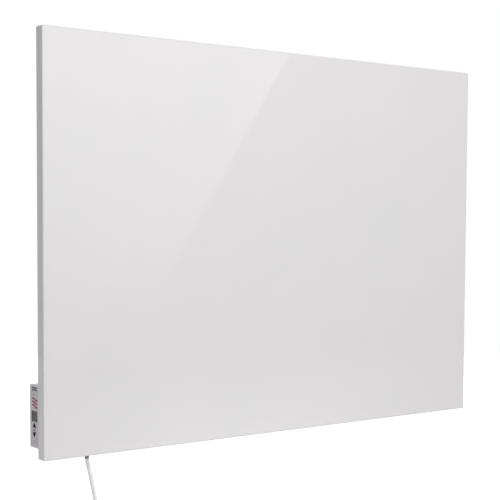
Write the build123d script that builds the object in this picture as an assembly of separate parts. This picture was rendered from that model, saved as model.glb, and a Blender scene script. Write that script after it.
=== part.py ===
from build123d import *
import math
import os

import numpy as np

# Infrared panel heater. Millimetres, +X to the right along the panel, +Y into the wall, +Z up.
# The origin lies on the wall, at the centre of the four keyhole entries.

# ---- casing ----
panel_width = 840.0
panel_height = 600.0
casing_depth = 18.0  # front face to the back of the rear cover
tray_sheet = 1.0
inner_bend = 0.8  # inside radius of the tray's folds
lip_width = 14.0  # inward lip that carries the rear cover
cover_sheet = 0.6
cover_margin = 2.5  # rear cover's edge to the tray's side
cover_corner = 4.0
screw_corner_inset = 40.0  # first screw of the long rows from the corner
screws_per_row = 4
screws_per_side = 3
side_screw_gap = 30.0  # lowest side screw above the control box

# ---- screws and rivets ----
screw_shank = 1.7
screw_head = 3.4
screw_head_height = 2.2
screw_length = 6.0
small_screw_shank = 1.25
small_screw_head = 2.3
small_screw_head_height = 1.4
small_screw_length = 3.6
rivet_shank = 1.6
rivet_head = 3.2
rivet_head_height = 0.9
rivet_tail = 2.3
rivet_tail_length = 2.8
hole_clearance = 0.1  # shank to its hole
head_dome = 0.45  # rounding of a pan head, share of its height
rivet_dome = 0.6  # the same for a rivet's head
recess_reach = 1.1  # cross recess, length and width as shares of the head's radius
recess_width = 0.26

# ---- heating element ----
element_margin = 20.0  # tray side to the element's sheets
mica_sheet = 0.5
track_sheet = 0.3
track_width = 6.0
track_run_count = 12
track_border = 18.0  # first and last run from the mica's edge
track_right = 8.0  # right-hand turns from the mica's edge
return_left = 6.0  # return run from the mica's left edge
return_gap = 16.0  # turns beside the return run, from its left edge
foil_sheet = 0.2
mat_thickness = 10.0
bay_past_grommet = 15.0  # corner left free of wool and foil for the terminals, past the grommet
bay_height = 26.0
terminal_size = 6.0
terminal_height = 4.0
terminal_edge = 0.5
cutout_length = 12.0
cutout_width = 10.0
cutout_height = 5.0
cutout_corner = 1.5
cutout_gap = 4.5  # to the lead at its right
lead_radius = 1.2
lead_bend = 2.6
lead_gap = 0.3  # lead's skin to the terminal's top

# ---- wall brackets ----
bracket_crown = 40.0
bracket_foot = 16.0
bracket_sheet = 1.5
bracket_inner_bend = 1.0
bracket_length = 46.0
bracket_to_box = 16.0  # nearest foot to the control box
bracket_from_edge = 100.0  # keyhole entry to the panel's top or bottom edge
key_entry = 6.0  # radius of the keyhole's round entry
key_slot = 2.75  # half width of its slot
key_rise = 12.0  # slot's end above the entry's centre
rivet_pitch = 28.0
rivet_from_crown = 9.0  # across a foot, from the crown's side

# ---- control box ----
control_depth = 25.0  # behind the rear cover
wall_clearance = 5.0  # control box to the wall
control_width = 108.0
control_height = 89.0
control_lift = 15.0  # above the panel's bottom edge
control_wall = 2.0
control_edge = 1.2  # rounding of the moulded shell
base_sheet = 1.5
base_clearance = 0.3
post_radius = 3.5
post_inset = 5.5  # right-hand posts from the shell's inside
left_post_inset = 15.0  # left-hand posts, clear of the display board
post_bore_depth = 8.0
box_screw_grip = 5.0  # box screw's thread in its post
high_rivets = (46.0, 75.0)  # base rivets from the control box's left
low_rivet_left = 27.0
low_rivet_to_grommet = 19.0
high_rivet_inset = 9.0  # from the control box's top
low_rivet_inset = 14.0  # from its bottom

# ---- fascia, all heights above the control box's bottom ----
fascia_axis = 14.0  # fascia's centre line from the control box's back
label_width = 19.0
label_margin = 2.7  # from the control box's bottom and top
label_sheet = 0.4
label_corner = 1.5
label_fit = 0.1  # label in its recess
label_gap = 0.3  # round the lens and the caps
window_width = 17.4
window_height = 14.6
window_centre = 44.9
window_recess = 0.2
lens_flange = 0.8
lens_flange_sheet = 0.8
lens_fit = 0.1
lens_edge = 0.3
display_gap = 0.2  # lens to display
display_margin = 0.8
figure_well = 0.3  # depth of each figure's well
figure_border = 0.8
figure_height = 9.6
up_centre = 31.2
down_centre = 20.0
power_centre = 10.1
arrow_radius = 4.4  # corner distance of the triangular caps
arrow_corner = 0.9
power_radius = 3.4
power_forward = 2.4  # power button nearer the casing than the arrows
cap_gap = 0.25  # round a cap
cap_stand = 0.9  # proud of the fascia
cap_edge = 0.35
cap_flange = 4.35
cap_flange_sheet = 0.8
cap_rest_gap = 0.3  # flange to the shell's inside
cap_stem = 1.5
button_travel = 0.5

# ---- key switches and display board ----
board_sheet = 1.6
board_gap = 6.8  # shell's inside to the display board
display_board_width = 18.6
display_board_low = 3.6
display_board_high = 62.0
boss_radius = 2.2
boss_low = 13.2
boss_high = 58.0
boss_side = 7.0  # bosses from the fascia's centre line, towards the wall
boss_bore_depth = 2.6
switch_size = 6.0
switch_height = 3.5
switch_edge = 0.4
plunger_radius = 1.7
plunger_stand = 0.8
plunger_hidden = 1.2
plunger_clearance = 0.1
sensor_radius = 1.4
sensor_length = 5.0
sensor_edge = 0.6
sensor_rise = 1.5  # above the display board's lower edge
sensor_inset = 3.0  # from its rear edge

# ---- power board ----
power_board_left = 26.0  # from the control box's left side
power_board_right = 14.0  # from its right side
power_board_low = 23.0  # from its bottom
power_board_top = 9.0  # from its top
standoff_height = 3.0
standoff_radius = 2.8
board_hole_inset = 4.0
board_corner = 2.0
board_screw_gap = 0.8  # screw's end to the foot of its pillar
case_edge = 0.8  # rounding of the moulded cases on the board
relay_size = (19.0, 15.0, 15.5)  # X, Y, Z
relay_at = (38.0, 32.0)  # lower left corner, from the board's lower left corner
film_size = (18.0, 12.0, 8.0)
film_at = (12.0, 40.0)
can_radius = 5.0
can_height = 13.0
can_at = (18.0, 28.0)  # axis
vent_depth = 0.25  # scored cross in the can's end
vent_width = 0.4
vent_reach = 6.5
fuse_radius = 2.6
fuse_length = 20.0
fuse_at = (31.0, 22.0)  # left end of its axis
fuse_glass_step = 0.25  # glass below the end caps
fuse_lift = 3.4  # axis above the board
fuse_cap_length = 5.0
clip_width = 4.0
clip_thickness = 3.2
block_size = (22.0, 12.0, 10.0)
block_from_right = 8.0  # to the board's right edge
block_ways = 4
block_pitch = 5.0
block_well = 1.7  # radius of the screw wells
block_well_depth = 2.0
wire_height = 5.9  # leads' axis above the power board
ribbon_width = 12.0
ribbon_sheet = 0.9
ribbon_bend = 2.0
ribbon_drop = 4.0  # bend's distance from the power board's left edge
ribbon_from_top = 9.0  # middle of the ribbon below the display board's top

# ---- earth and grommet ----
grommet_forward = 9.5  # centre below the terminal block
grommet_bore = 4.0
grommet_neck = 5.2
grommet_flange = 7.0
grommet_flange_sheet = 1.2
grommet_edge = 0.4
earth_radius = 2.0
earth_head = 3.5
earth_head_height = 2.6
earth_length = 4.0
earth_tag_radius = 4.5
earth_tag_sheet = 0.8
earth_tag_tail = 7.0
earth_tag_tail_width = 4.4
earth_tag_gap = 1.0  # tag to its window in the base plate
earth_from_right = 16.0  # from the control box's right side
earth_rise = 19.0  # above the control box's bottom
core_radius = 1.1
core_pitch = 2.4
core_bend = 1.8
core_lean = 5.0  # height in which the cores reach the block's ways

# ---- mains lead ----
cord_diameter = 5.8
cord_length = 1500.0
exit_from_right = 24.2  # lead's axis from the control box's right side
exit_from_back = 13.0  # lead's axis from the control box's back
relief_length = 24.0  # below the control box
relief_flange = 6.0
relief_flange_sheet = 2.0
relief_neck = 4.6
relief_root = 4.5
relief_tip = 3.1
relief_inside = 3.0
relief_chamfer = 0.6
relief_barb = 1.2  # slope of the flange inside the box
relief_shoulder = 2.0  # tail's full width below the flange
# the lead's corners below the strain relief, as (right, down) from its tip
cord_route = [(0.0, 0.0), (0.0, 6.8), (4.2, 22.5), (9.4, 42.0), (14.2, 64.0), (18.6, 88.0), (21.4, 110.0),
              (21.4, 122.0)]
arc_share = 0.45  # of the shorter run, taken by each arc
coil_half_turns = 12
coil_turn_back = 5  # half turn that climbs to the second layer
coil_gap = 0.5  # between neighbouring turns
gap_reach = 60.0  # least distance along the lead between the stretches compared
gap_points = 1400
tail_length = 20.2
tie_width = 5.0
tie_sheet = 1.0
tie_gap = 0.3
tie_tail = 9.0
tie_tail_radius = 1.4
tie_tail_edge = 0.5

# ---- plug ----
boot_length = 20.0
boot_tip = 3.9
boot_root = 5.4
boot_rings = 4
ring_depth = 0.5
plug_shoulder = 14.0  # shoulder's height above the straight face part
plug_face_depth = 13.0
plug_radius = 18.5
plug_edge = 1.0
pin_radius = 2.4
pin_length = 19.0
pin_pitch = 19.0
pin_hole_offset = 10.0
pin_hole_radius = 2.6
pin_hole_depth = 17.0
notch_width = 9.0
notch_depth = 3.2
notch_height = 15.0
clip_sheet = 0.8
clip_inset = 0.4
clip_corner = 1.0

# ---- planes and places that follow ----
stand_off = control_depth + wall_clearance
bend_radius = tray_sheet + inner_bend
left, right = -panel_width / 2, panel_width / 2
bottom, top = -panel_height / 2, panel_height / 2
cover_back = -stand_off
cover_front = cover_back - cover_sheet
front_face = cover_back - casing_depth
front_inside = front_face + tray_sheet
lip_front = cover_front - tray_sheet
mica_front_back = front_inside + mica_sheet
track_back = mica_front_back + track_sheet
mica_rear_back = track_back + mica_sheet
foil_back = mica_rear_back + foil_sheet

mat_left, mat_right = left + element_margin, right - element_margin
mat_bottom, mat_top = bottom + element_margin, top - element_margin

box_left, box_right = left, left + control_width
box_bottom = bottom + control_lift
box_top = box_bottom + control_height
box_back = cover_back + control_depth
shell_left, shell_right = box_left + control_wall, box_right - control_wall
shell_bottom, shell_top = box_bottom + control_wall, box_top - control_wall
shell_back = box_back - control_wall
base_back = cover_back + base_sheet

fascia_y = box_back - fascia_axis
power_y = fascia_y - power_forward
display_board_front = shell_left + board_gap
display_board_back = display_board_front + board_sheet
switch_front = display_board_front - switch_height
plunger_front = switch_front - plunger_stand
flange_front = shell_left + cap_rest_gap
flange_back = flange_front + cap_flange_sheet

board_x0 = box_left + power_board_left
board_x1 = box_right - power_board_right
board_z0 = box_bottom + power_board_low
board_z1 = box_top - power_board_top
board_y0 = base_back + standoff_height
board_y1 = board_y0 + board_sheet
wire_y = board_y1 + wire_height

exit_x = box_right - exit_from_right
exit_y = box_back - exit_from_back
block_x1 = board_x1 - block_from_right
block_x0 = block_x1 - block_size[0]
block_margin = (block_size[0] - block_ways * block_pitch) / 2
way_x = [block_x1 - block_margin - block_pitch * (i + 0.5) for i in range(block_ways)]  # right to left
grommet_x = (way_x[2] + way_x[3]) / 2
grommet_z = board_z0 - grommet_forward
earth_x = box_right - earth_from_right
earth_z = box_bottom + earth_rise
lead_y = track_back + terminal_height - lead_radius - lead_gap

bracket_span = bracket_crown / 2 + bracket_foot
bracket_x = -(box_right + bracket_to_box + bracket_span)
bracket_z = top - bracket_from_edge

coil_pitch = cord_diameter + coil_gap
tip_z = box_bottom - relief_length
tiny = 0.01
over = 1.0  # cutting bodies run this far past the faces they cut


def slab(x0, x1, y0, y1, z0, z1):
    """A box between two corners."""
    return Pos((x0 + x1) / 2, (y0 + y1) / 2, (z0 + z1) / 2) * Box(x1 - x0, y1 - y0, z1 - z0)


def bar_x(y, z, radius, x0, x1):
    return Pos((x0 + x1) / 2, y, z) * Rot(0, 90, 0) * Cylinder(radius, x1 - x0)


def bar_y(x, z, radius, y0, y1):
    return Pos(x, (y0 + y1) / 2, z) * Rot(90, 0, 0) * Cylinder(radius, y1 - y0)


def bar_z(x, y, radius, z0, z1):
    return Pos(x, y, (z0 + z1) / 2) * Cylinder(radius, z1 - z0)


def rounded(body, radius, keep):
    """Rounds the edges whose centre passes the test."""
    return fillet([e for e in body.edges() if keep(e.center())], radius)


def wire(points, radius, bend):
    """A round conductor along straight runs with one bend radius."""
    path = FilletPolyline(*points, radius=bend)
    return sweep(Plane(path @ 0, z_dir=path % 0) * Circle(radius), path)


def spread(first, last, count):
    return [first + (last - first) * i / (count - 1) for i in range(count)]


def screw(shank, head, head_height, length):
    """A pan-head screw along +Y: its head stands on the plane Y = 0 and its shank runs to -length."""
    body = bar_y(0, 0, head, 0, head_height)
    body = rounded(body, head_height * head_dome, lambda c: c.Y > head_height - tiny)
    for turn in (0, 90):
        slot = Box(head * recess_reach, head_height, head * recess_width)
        body -= Pos(0, head_height, 0) * Rot(0, turn, 0) * slot
    return body + bar_y(0, 0, shank, -length, 0)


def rivet(grip):
    """A blind rivet along +Y through a stack of this grip: domed head on Y = 0, bulb behind the stack."""
    body = rounded(bar_y(0, 0, rivet_head, 0, rivet_head_height), rivet_head_height * rivet_dome,
                   lambda c: c.Y > rivet_head_height - tiny)
    body += bar_y(0, 0, rivet_shank, -grip, 0)
    return body + bar_y(0, 0, rivet_tail, -grip - rivet_tail_length, -grip)


# ---- casing ----
def cover_screw_places():
    inset = tray_sheet + (lip_width - tray_sheet) / 2
    row = spread(left + screw_corner_inset, right - screw_corner_inset, screws_per_row)
    lowest = box_top + side_screw_gap
    side = spread(lowest, -lowest, screws_per_side)
    return ([(x, z) for x in row for z in (bottom + inset, top - inset)]
            + [(x, z) for x in (left + inset, right - inset) for z in side])


def bracket_places():
    """Keyhole entry of each bracket, by the name of its corner."""
    return {"lower_left": (-bracket_x, -bracket_z), "lower_right": (bracket_x, -bracket_z),
            "upper_left": (-bracket_x, bracket_z), "upper_right": (bracket_x, bracket_z)}


def bracket_rivet_places():
    foot = bracket_crown / 2 + rivet_from_crown
    middle = bracket_middle()
    return [(x + side * foot, z + middle + end * rivet_pitch / 2)
            for x, z in bracket_places().values() for side in (-1, 1) for end in (-1, 1)]


def base_rivet_places():
    """Rivets that hold the control box's base, clear of its boards' pillars."""
    return ([(box_left + x, box_top - high_rivet_inset) for x in high_rivets]
            + [(x, box_bottom + low_rivet_inset)
               for x in (box_left + low_rivet_left, grommet_x - low_rivet_to_grommet)])


def make_front_panel():
    """Folded tray: the outside less its cavity, open at the back inside the lips."""
    behind_bends = cover_front - tiny
    outer = rounded(slab(left, right, front_face, cover_front, bottom, top), bend_radius,
                    lambda c: c.Y < behind_bends)
    cavity = slab(left + tray_sheet, right - tray_sheet, front_inside, lip_front,
                  bottom + tray_sheet, top - tray_sheet)
    cavity = rounded(cavity, inner_bend, lambda c: c.Y < lip_front - tiny)
    mouth = slab(left + lip_width, right - lip_width, lip_front - tray_sheet, cover_front + tray_sheet,
                 bottom + lip_width, top - lip_width)
    tray = outer - cavity - mouth
    for x, z in cover_screw_places():
        tray -= bar_y(x, z, screw_shank + hole_clearance, lip_front - tray_sheet, cover_front + tray_sheet)
    return tray


def make_rear_cover():
    sheet = slab(left + cover_margin, right - cover_margin, cover_front, cover_back,
                 bottom + cover_margin, top - cover_margin)
    sheet = fillet(sheet.edges().filter_by(Axis.Y), cover_corner)
    holes = [(place, screw_shank) for place in cover_screw_places()]
    holes += [(place, rivet_shank) for place in bracket_rivet_places() + base_rivet_places()]
    holes += [((grommet_x, grommet_z), grommet_neck), ((earth_x, earth_z), earth_radius)]
    for (x, z), radius in holes:
        sheet -= bar_y(x, z, radius + hole_clearance, cover_front - tray_sheet, cover_back + tray_sheet)
    return sheet


def make_cover_screws():
    one = screw(screw_shank, screw_head, screw_head_height, screw_length)
    return [Pos(x, cover_back, z) * one for x, z in cover_screw_places()]


# ---- heating element ----
def bay(y0, y1):
    return slab(mat_left - over, grommet_x + bay_past_grommet, y0 - over, y1 + over,
                mat_bottom - over, mat_bottom + bay_height)


def make_mica(y0, with_bay):
    sheet = slab(mat_left, mat_right, y0, y0 + mica_sheet, mat_bottom, mat_top)
    return sheet - bay(y0, y0 + mica_sheet) if with_bay else sheet


def track_levels():
    return spread(mat_bottom + track_border, mat_top - track_border, track_run_count)


def track_ends():
    """Left edge of the turns, right edge of the turns, and centre line of the return run."""
    return_x = mat_left + return_left + track_width / 2
    return mat_left + return_left + return_gap, mat_right - track_right, return_x


def make_heating_track():
    """A flat track: runs joined in turn at the right and the left, and a return run down the left."""
    x0, x1, back_x = track_ends()
    levels = track_levels()
    half = track_width / 2
    track = None
    for i, z in enumerate(levels):
        start = back_x - half if i == track_run_count - 1 else x0
        run = slab(start, x1, mica_front_back, track_back, z - half, z + half)
        track = run if track is None else track + run
        if i < track_run_count - 1:
            edge = x1 - track_width if i % 2 == 0 else x0
            track += slab(edge, edge + track_width, mica_front_back, track_back,
                          z - half, levels[i + 1] + half)
    return track + slab(back_x - half, back_x + half, mica_front_back, track_back,
                        levels[0] - half, levels[-1] + half)


def terminal_places():
    x0, _, back_x = track_ends()
    return [(back_x, track_levels()[0]), (x0 + terminal_size / 2, track_levels()[0])]


def make_element_terminals():
    half = terminal_size / 2
    y1 = track_back + terminal_height
    blocks = [slab(x - half, x + half, track_back, y1, z - half, z + half) for x, z in terminal_places()]
    return [rounded(block, terminal_edge, lambda c: c.Y > y1 - tiny) for block in blocks]


def cutout_box():
    """The cut-out's block, beside the first run, left of the grommet."""
    x1 = way_x[3] - cutout_gap
    return (x1 - cutout_length, x1, mica_front_back, mica_front_back + cutout_height,
            grommet_z - cutout_width / 2, grommet_z + cutout_width / 2)


def make_thermal_cutout():
    body = slab(*cutout_box())
    return fillet(body.edges().filter_by(Axis.Y), cutout_corner)


def make_element_leads():
    """Block to cut-out, cut-out to the return run, and block to the first run."""
    x_a, x_b = way_x[3], way_x[2]
    cut_x0, cut_x1 = cutout_box()[:2]
    (a_x, a_z), (b_x, b_z) = terminal_places()
    half = terminal_size / 2
    first = [(x_a, wire_y, board_z0), (x_a, wire_y, grommet_z), (x_a, lead_y, grommet_z),
             (cut_x1, lead_y, grommet_z)]
    link = [(cut_x0, lead_y, grommet_z), (a_x, lead_y, grommet_z), (a_x, lead_y, a_z - half)]
    second = [(x_b, wire_y, board_z0), (x_b, wire_y, grommet_z), (x_b, lead_y, grommet_z),
              (x_b, lead_y, b_z), (b_x + half, lead_y, b_z)]
    return [wire(points, lead_radius, lead_bend) for points in (first, link, second)]


def make_reflector_foil():
    foil = slab(mat_left, mat_right, mica_rear_back, foil_back, mat_bottom, mat_top)
    return foil - bay(mica_rear_back, foil_back)


def make_insulation_mat():
    mat = slab(mat_left, mat_right, foil_back, foil_back + mat_thickness, mat_bottom, mat_top)
    return mat - bay(foil_back, foil_back + mat_thickness)


# ---- wall brackets ----
def bracket_middle():
    """Height of the bracket's middle above its keyhole entry."""
    return (key_rise + key_slot - key_entry) / 2


def make_bracket(x, z):
    """Hat section: feet on the rear cover, crown on the wall, a keyhole in the crown."""
    foot = bracket_span
    wall_half = bracket_crown / 2
    inside_half = wall_half - bracket_sheet
    tight, wide = bracket_inner_bend, bracket_inner_bend + bracket_sheet
    foot_back = cover_back + bracket_sheet
    outer = FilletPolyline((-foot, foot_back), (-wall_half, foot_back), (-wall_half, 0), (wall_half, 0),
                           (wall_half, foot_back), (foot, foot_back), radius=[tight, wide, wide, tight])
    inner = FilletPolyline((foot, cover_back), (inside_half, cover_back), (inside_half, -bracket_sheet),
                           (-inside_half, -bracket_sheet), (-inside_half, cover_back), (-foot, cover_back),
                           radius=[wide, tight, tight, wide])
    ends = Line((foot, foot_back), (foot, cover_back)) + Line((-foot, cover_back), (-foot, foot_back))
    section = make_face(outer + inner + ends)
    hat = Pos(0, 0, bracket_middle() - bracket_length / 2) * extrude(section, bracket_length)
    key = bar_y(0, 0, key_entry, -2 * bracket_sheet, bracket_sheet)
    key += slab(-key_slot, key_slot, -2 * bracket_sheet, bracket_sheet, 0, key_rise)
    key += bar_y(0, key_rise, key_slot, -2 * bracket_sheet, bracket_sheet)
    hat = Pos(x, 0, z) * (hat - key)
    for rivet_x, rivet_z in bracket_rivet_places():
        if abs(rivet_x - x) < foot and abs(rivet_z - z) < bracket_length:
            hat -= bar_y(rivet_x, rivet_z, rivet_shank + hole_clearance, cover_back - over, foot_back + over)
    return hat


def make_bracket_rivets():
    one = rivet(bracket_sheet + cover_sheet)
    return [Pos(x, cover_back + bracket_sheet, z) * one for x, z in bracket_rivet_places()]


# ---- control box ----
def post_places():
    return [(x, z) for x in (shell_left + left_post_inset, shell_right - post_inset)
            for z in (shell_bottom + post_inset, shell_top - post_inset)]


def pillar_places():
    return [(x, z) for x in (board_x0 + board_hole_inset, board_x1 - board_hole_inset)
            for z in (board_z0 + board_hole_inset, board_z1 - board_hole_inset)]


def boss_places():
    """Display board bosses on the shell's left wall, as (y, z)."""
    return [(fascia_y + boss_side, box_bottom + boss_low), (fascia_y + boss_side, box_bottom + boss_high)]


def buttons():
    """Each button's outline on the fascia's plane, with its place (y, z) there."""
    arrow = RegularPolygon(arrow_radius, 3, rotation=90)
    arrow = fillet(arrow.vertices(), arrow_corner)
    return {"button_up": (arrow, fascia_y, box_bottom + up_centre),
            "button_down": (Rot(0, 0, 180) * arrow, fascia_y, box_bottom + down_centre),
            "button_power": (Sketch() + Circle(power_radius), power_y, box_bottom + power_centre)}


def fascia_plane(x, y, z):
    """Plane at this point that looks out of the fascia, its own y upwards."""
    return Plane(origin=(x, y, z), x_dir=(0, -1, 0), z_dir=(-1, 0, 0))


def window_cut(gap, x0, x1):
    half_y, half_z = window_width / 2 + gap, window_height / 2 + gap
    z = box_bottom + window_centre
    return slab(x0, x1, fascia_y - half_y, fascia_y + half_y, z - half_z, z + half_z)


def label_outline(x0, x1, shrink):
    half = label_width / 2 - shrink
    body = slab(x0, x1, fascia_y - half, fascia_y + half,
                box_bottom + label_margin + shrink, box_top - label_margin - shrink)
    return fillet(body.edges().filter_by(Axis.X), label_corner)


def make_control_cover():
    """Moulded shell, open towards the casing, with the fascia in its left wall."""
    shell = rounded(slab(box_left, box_right, cover_back, box_back, box_bottom, box_top), control_edge,
                    lambda c: c.Y > cover_back + tiny)
    shell -= slab(shell_left, shell_right, cover_back - over, shell_back, shell_bottom, shell_top)
    for y, z in boss_places():
        shell += bar_x(y, z, boss_radius, shell_left - tiny, display_board_front)
    shell -= label_outline(box_left - over, box_left + label_sheet, 0)
    shell -= window_cut(lens_fit, box_left - over, shell_left + tiny)
    for outline, y, z in buttons().values():
        hole = offset(outline, cap_gap)
        shell -= extrude(fascia_plane(shell_left + tiny, y, z) * hole, control_wall + over)
    for y, z in boss_places():
        shell -= bar_x(y, z, small_screw_shank + hole_clearance,
                       display_board_front - boss_bore_depth, display_board_front + over)
    for x, z in post_places():
        shell -= bar_y(x, z, screw_shank + hole_clearance, shell_back - over, box_back + over)
    shell -= bar_z(exit_x, exit_y, relief_neck + hole_clearance,
                   box_bottom - over, shell_bottom + over)
    return shell


def make_control_base():
    """Insulating plate on the rear cover, with posts for the shell and pillars for the power board."""
    g = base_clearance
    base = slab(shell_left + g, shell_right - g, cover_back, base_back, shell_bottom + g, shell_top - g)
    for x, z in post_places():
        base += bar_y(x, z, post_radius, base_back - tiny, shell_back)
    for x, z in pillar_places():
        base += bar_y(x, z, standoff_radius, base_back - tiny, board_y0)
    for x, z in post_places():
        base -= bar_y(x, z, screw_shank + hole_clearance, shell_back - post_bore_depth, shell_back + over)
    for x, z in pillar_places():
        base -= bar_y(x, z, small_screw_shank + hole_clearance, base_back, board_y0 + over)
    for x, z in base_rivet_places():
        base -= bar_y(x, z, rivet_shank + hole_clearance, cover_back - over, base_back + over)
    base -= bar_y(grommet_x, grommet_z, grommet_neck + hole_clearance,
                  cover_back - over, base_back + over)
    window = earth_tag_radius + earth_tag_gap
    base -= slab(earth_x - window, earth_x + window, cover_back - over, base_back + over,
                 earth_z - window - earth_tag_tail, earth_z + window)
    return base


def make_base_rivets():
    one = rivet(base_sheet + cover_sheet)
    return [Pos(x, base_back, z) * one for x, z in base_rivet_places()]


def make_box_screws():
    one = screw(screw_shank, screw_head, screw_head_height, control_wall + box_screw_grip)
    return [Pos(x, box_back, z) * one for x, z in post_places()]


def make_fascia_label():
    label = label_outline(box_left, box_left + label_sheet, label_fit)
    label -= window_cut(label_gap, box_left - over, box_left + over)
    for outline, y, z in buttons().values():
        hole = offset(outline, cap_gap + label_gap)
        label -= extrude(fascia_plane(box_left + over, y, z) * hole, 2 * over)
    return label


def make_display_window():
    """Lens set in the shell's wall, with a flange behind it."""
    lens = window_cut(0, box_left + window_recess, shell_left)
    lens = rounded(lens, lens_edge, lambda c: c.X < box_left + window_recess + tiny)
    return lens + window_cut(lens_flange, shell_left, shell_left + lens_flange_sheet)


def make_display_module():
    """Two-figure display behind the lens: a block with a shallow well for each figure."""
    front = shell_left + lens_flange_sheet + display_gap
    module = window_cut(-display_margin, front, display_board_front)
    z = box_bottom + window_centre
    quarter = (window_width - 2 * display_margin) / 4
    half = quarter - figure_border
    for side in (-1, 1):
        y = fascia_y + side * quarter
        module -= slab(front - over, front + figure_well, y - half, y + half,
                       z - figure_height / 2, z + figure_height / 2)
    return module


def make_display_board():
    half = display_board_width / 2
    board = slab(display_board_front, display_board_back, fascia_y - half, fascia_y + half,
                 box_bottom + display_board_low, box_bottom + display_board_high)
    for y, z in boss_places():
        board -= bar_x(y, z, small_screw_shank + hole_clearance,
                       display_board_front - over, display_board_back + over)
    return board


def make_display_screws():
    one = screw(small_screw_shank, small_screw_head, small_screw_head_height, small_screw_length)
    one = Rot(0, 0, -90) * one
    return [Pos(display_board_back, y, z) * one for y, z in boss_places()]


def make_temperature_sensor():
    z0 = box_bottom + display_board_low + sensor_rise
    y = fascia_y + display_board_width / 2 - sensor_inset
    bead = bar_z(display_board_back + sensor_radius, y, sensor_radius, z0, z0 + sensor_length)
    return fillet(bead.edges(), sensor_edge)


def make_key_switches():
    """One switch body behind each cap, with a well for its plunger."""
    half = switch_size / 2
    well = plunger_hidden + button_travel + plunger_clearance
    bodies = []
    for _, y, z in buttons().values():
        body = slab(switch_front, display_board_front, y - half, y + half, z - half, z + half)
        body = rounded(body, switch_edge, lambda c: abs(c.X - switch_front) < tiny)
        body -= bar_x(y, z, plunger_radius + plunger_clearance, switch_front - over, switch_front + well)
        bodies.append(body)
    return bodies


def make_plunger(y, z):
    return bar_x(y, z, plunger_radius, plunger_front, switch_front + plunger_hidden)


def make_cap(outline, y, z):
    """Crown through the fascia, flange behind the wall, stem down to the switch's plunger."""
    crown_front = box_left - cap_stand
    cap = extrude(fascia_plane(flange_front, y, z) * outline, flange_front - crown_front)
    cap = rounded(cap, cap_edge, lambda c: abs(c.X - crown_front) < tiny)
    cap += bar_x(y, z, cap_flange, flange_front - tiny, flange_back)
    return cap + bar_x(y, z, cap_stem, flange_back - tiny, plunger_front)


# ---- power board ----
def make_power_board():
    board = slab(board_x0, board_x1, board_y0, board_y1, board_z0, board_z1)
    board = fillet(board.edges().filter_by(Axis.Y), board_corner)
    for x, z in pillar_places():
        board -= bar_y(x, z, small_screw_shank + hole_clearance, board_y0 - over, board_y1 + over)
    return board


def make_board_screws():
    one = screw(small_screw_shank, small_screw_head, small_screw_head_height,
                standoff_height + board_sheet - board_screw_gap)
    return [Pos(x, board_y1, z) * one for x, z in pillar_places()]


def on_board(size, place):
    """A rounded case of this size standing on the power board."""
    width, height, length = size
    x0, z0 = place
    case = slab(board_x0 + x0, board_x0 + x0 + width, board_y1, board_y1 + height,
                board_z0 + z0, board_z0 + z0 + length)
    return rounded(case, case_edge, lambda c: c.Y > board_y1 + tiny)


def make_smoothing_capacitor():
    x, z = board_x0 + can_at[0], board_z0 + can_at[1]
    can = bar_y(x, z, can_radius, board_y1, board_y1 + can_height)
    can = rounded(can, case_edge, lambda c: c.Y > board_y1 + can_height - tiny)
    for turn in (0, 90):
        score = Rot(0, turn, 0) * Box(vent_reach, 2 * vent_depth, vent_width)
        can -= Pos(x, board_y1 + can_height, z) * score
    return can


def make_fuse():
    """Glass fuse with its end caps in two clips."""
    x0, z = board_x0 + fuse_at[0], board_z0 + fuse_at[1]
    y = board_y1 + fuse_lift
    fuse = bar_x(y, z, fuse_radius - fuse_glass_step, x0, x0 + fuse_length)
    for start in (x0, x0 + fuse_length - fuse_cap_length):
        fuse += bar_x(y, z, fuse_radius, start, start + fuse_cap_length)
        middle = start + fuse_cap_length / 2
        fuse += slab(middle - clip_width / 2, middle + clip_width / 2, board_y1, y,
                     z - clip_thickness / 2, z + clip_thickness / 2)
    return fuse


def make_terminal_block():
    """Block of four ways, each with a screw well on its face."""
    _, height, length = block_size
    block = slab(block_x0, block_x1, board_y1, board_y1 + height, board_z0, board_z0 + length)
    for x in way_x:
        block -= bar_y(x, board_z0 + length / 2, block_well,
                       board_y1 + height - block_well_depth, board_y1 + height + over)
    return block


def make_ribbon_cable():
    """Flat cable from the back of the display board, round a bend, to the power board."""
    z = box_bottom + display_board_high - ribbon_from_top
    reach = board_x0 + ribbon_drop
    half = ribbon_sheet / 2
    y = fascia_y
    outer = FilletPolyline((display_board_back, y + half), (reach + half, y + half),
                           (reach + half, board_y1), radius=ribbon_bend)
    inner = FilletPolyline((reach - half, board_y1), (reach - half, y - half),
                           (display_board_back, y - half), radius=ribbon_bend - ribbon_sheet)
    ends = (Line((reach + half, board_y1), (reach - half, board_y1))
            + Line((display_board_back, y - half), (display_board_back, y + half)))
    return Pos(0, 0, z - ribbon_width / 2) * extrude(make_face(outer + inner + ends), ribbon_width)


# ---- earth, grommet and supply wires ----
def make_lead_grommet():
    ring = bar_y(grommet_x, grommet_z, grommet_neck, cover_front, base_back)
    ring += bar_y(grommet_x, grommet_z, grommet_flange, base_back, base_back + grommet_flange_sheet)
    ring += bar_y(grommet_x, grommet_z, grommet_flange, cover_front - grommet_flange_sheet, cover_front)
    ring = rounded(ring, grommet_edge, lambda c: c.Y > base_back + grommet_flange_sheet - tiny)
    return ring - bar_y(grommet_x, grommet_z, grommet_bore, cover_front - grommet_flange_sheet - over,
                        base_back + grommet_flange_sheet + over)


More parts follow.
